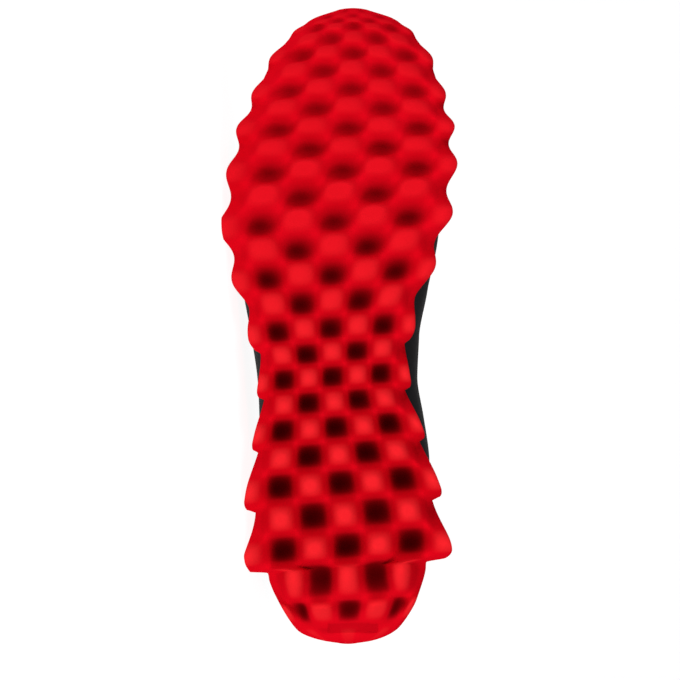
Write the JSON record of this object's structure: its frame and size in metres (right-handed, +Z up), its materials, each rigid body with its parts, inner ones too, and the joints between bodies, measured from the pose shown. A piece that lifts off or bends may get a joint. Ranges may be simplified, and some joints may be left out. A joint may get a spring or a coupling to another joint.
{
  "type": "low sneaker",
  "caption": "Right low lace-up sneaker with a black cloth upper and a thick red rubber sole of lobes and pits, empty, lying on its outer side.",
  "frame": {"origin": "on the floor that the shoe lies on, under the middle of its bounding box", "axes": "+X towards the heel, +Y from the tread to the collar, +Z up: the shoe lies on its outer side, its tread faces -Y and its toe points to -X"},
  "size_m": [0.3014, 0.1362, 0.112],
  "materials": {
    "sole_rubber": "matte",
    "upper_cloth": "matte",
    "insole_cloth": "matte",
    "lace_cloth": "matte",
    "eyelet_metal": "satin"
  },
  "bodies": {
    "root": {"sole": "sole_rubber", "upper": "upper_cloth", "insole": "insole_cloth", "tongue": "upper_cloth", "laces": "lace_cloth", "eyelet_outer_1": "eyelet_metal", "eyelet_outer_2": "eyelet_metal", "eyelet_outer_3": "eyelet_metal", "eyelet_outer_4": "eyelet_metal", "eyelet_outer_5": "eyelet_metal", "eyelet_inner_1": "eyelet_metal", "eyelet_inner_2": "eyelet_metal", "eyelet_inner_3": "eyelet_metal", "eyelet_inner_4": "eyelet_metal", "eyelet_inner_5": "eyelet_metal"}
  },
  "joints": []
}
